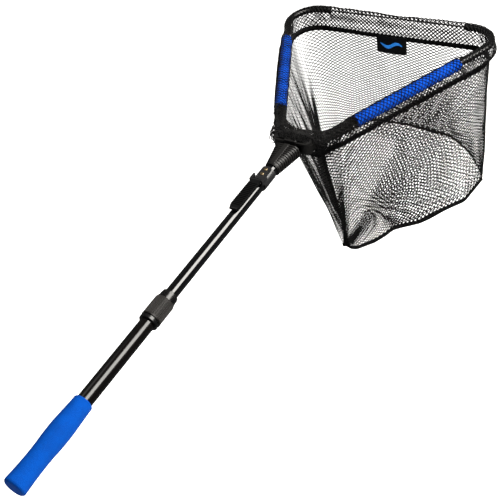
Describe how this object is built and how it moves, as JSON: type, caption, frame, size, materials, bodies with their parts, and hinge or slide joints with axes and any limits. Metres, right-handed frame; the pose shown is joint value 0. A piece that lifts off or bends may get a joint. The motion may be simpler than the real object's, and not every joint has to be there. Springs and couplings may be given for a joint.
{
  "type": "landing net",
  "caption": "Folding hand net with a foam-gripped telescopic pole, a belt clip, and a hinged hoop that carries foam floats and a deep open-mesh bag.",
  "frame": {"origin": "centre of the grip's butt face", "axes": "+X along the pole towards the hoop, +Y to the left arm, +Z on the belt clip's side, opposite the bag"},
  "size_m": [1.2085, 0.4384, 0.4229],
  "materials": {
    "grip_foam": "matte blue foam",
    "outer_tube": "gloss black",
    "inner_tube": "gloss black",
    "collar_plastic": "satin",
    "saddle_plastic": "satin grey",
    "rivet_brass": "dull",
    "lever_plastic": "satin black",
    "yoke_plastic": "moulded dark grey",
    "pin_steel": "satin",
    "arm_metal": "satin black",
    "float_foam": "matte blue foam",
    "sleeve_black": "satin black",
    "net_black": "knotless mesh",
    "tape_black": "woven tape",
    "patch_black": "woven label",
    "cord_black": "braided cord"
  },
  "bodies": {
    "outer_pole": {"foam_grip": "grip_foam", "outer_tube": "outer_tube", "butt_cap": "collar_plastic", "collar_seat": "collar_plastic"},
    "twist_collar": {"twist_collar": "collar_plastic", "collar_nose": "collar_plastic"},
    "inner_pole": {"inner_tube": "inner_tube", "lock_expander": "collar_plastic", "clip_saddle": "saddle_plastic", "clip_rivets": "rivet_brass", "clip_pin": "pin_steel", "yoke": "yoke_plastic", "fold_pin": "pin_steel"},
    "clip_lever": {"clip_lever": "lever_plastic"},
    "hoop_head": {"head_block": "yoke_plastic", "left_pivot_pin": "pin_steel", "right_pivot_pin": "pin_steel", "net_bag": "net_black", "rim_tape": "tape_black", "label_patch": "patch_black", "front_cord": "cord_black"},
    "left_arm": {"left_knuckle": "yoke_plastic", "left_arm_tube": "arm_metal", "left_float": "float_foam", "left_corner_sleeve": "sleeve_black", "left_tip_plug": "sleeve_black"},
    "right_arm": {"right_knuckle": "yoke_plastic", "right_arm_tube": "arm_metal", "right_float": "float_foam", "right_corner_sleeve": "sleeve_black", "right_tip_plug": "sleeve_black"}
  },
  "joints": [
    {"name": "collar_twist", "type": "hinge", "parent": "outer_pole", "child": "twist_collar", "pos_m": [0.33, 0, 0], "axis": [1, 0, 0], "range_deg": [0, 90]},
    {"name": "pole_slide", "type": "slide", "parent": "outer_pole", "child": "inner_pole", "axis": [-1, 0, 0], "range_m": [0, 0.185]},
    {"name": "clip_press", "type": "hinge", "parent": "inner_pole", "child": "clip_lever", "pos_m": [0.628, 0, 0.0145], "axis": [0, 1, 0], "range_deg": [0, 8], "stiffness_Nm_per_rad": 2, "springref_deg": -2.86},
    {"name": "hoop_fold", "type": "hinge", "parent": "inner_pole", "child": "hoop_head", "pos_m": [0.734, 0, -0.013], "axis": [0, 1, 0], "range_deg": [0, 180], "deforming": ["net_bag", "rim_tape", "label_patch", "front_cord"]},
    {"name": "left_arm_close", "type": "hinge", "parent": "hoop_head", "child": "left_arm", "pos_m": [0.75, 0.026, 0], "axis": [0, 0, -1], "range_deg": [0, 17.5], "deforming": ["net_bag", "rim_tape", "label_patch", "front_cord"]},
    {"name": "right_arm_close", "type": "hinge", "parent": "hoop_head", "child": "right_arm", "pos_m": [0.75, -0.026, 0], "axis": [0, 0, 1], "range_deg": [0, 17.5], "deforming": ["net_bag", "rim_tape", "label_patch", "front_cord"]}
  ]
}
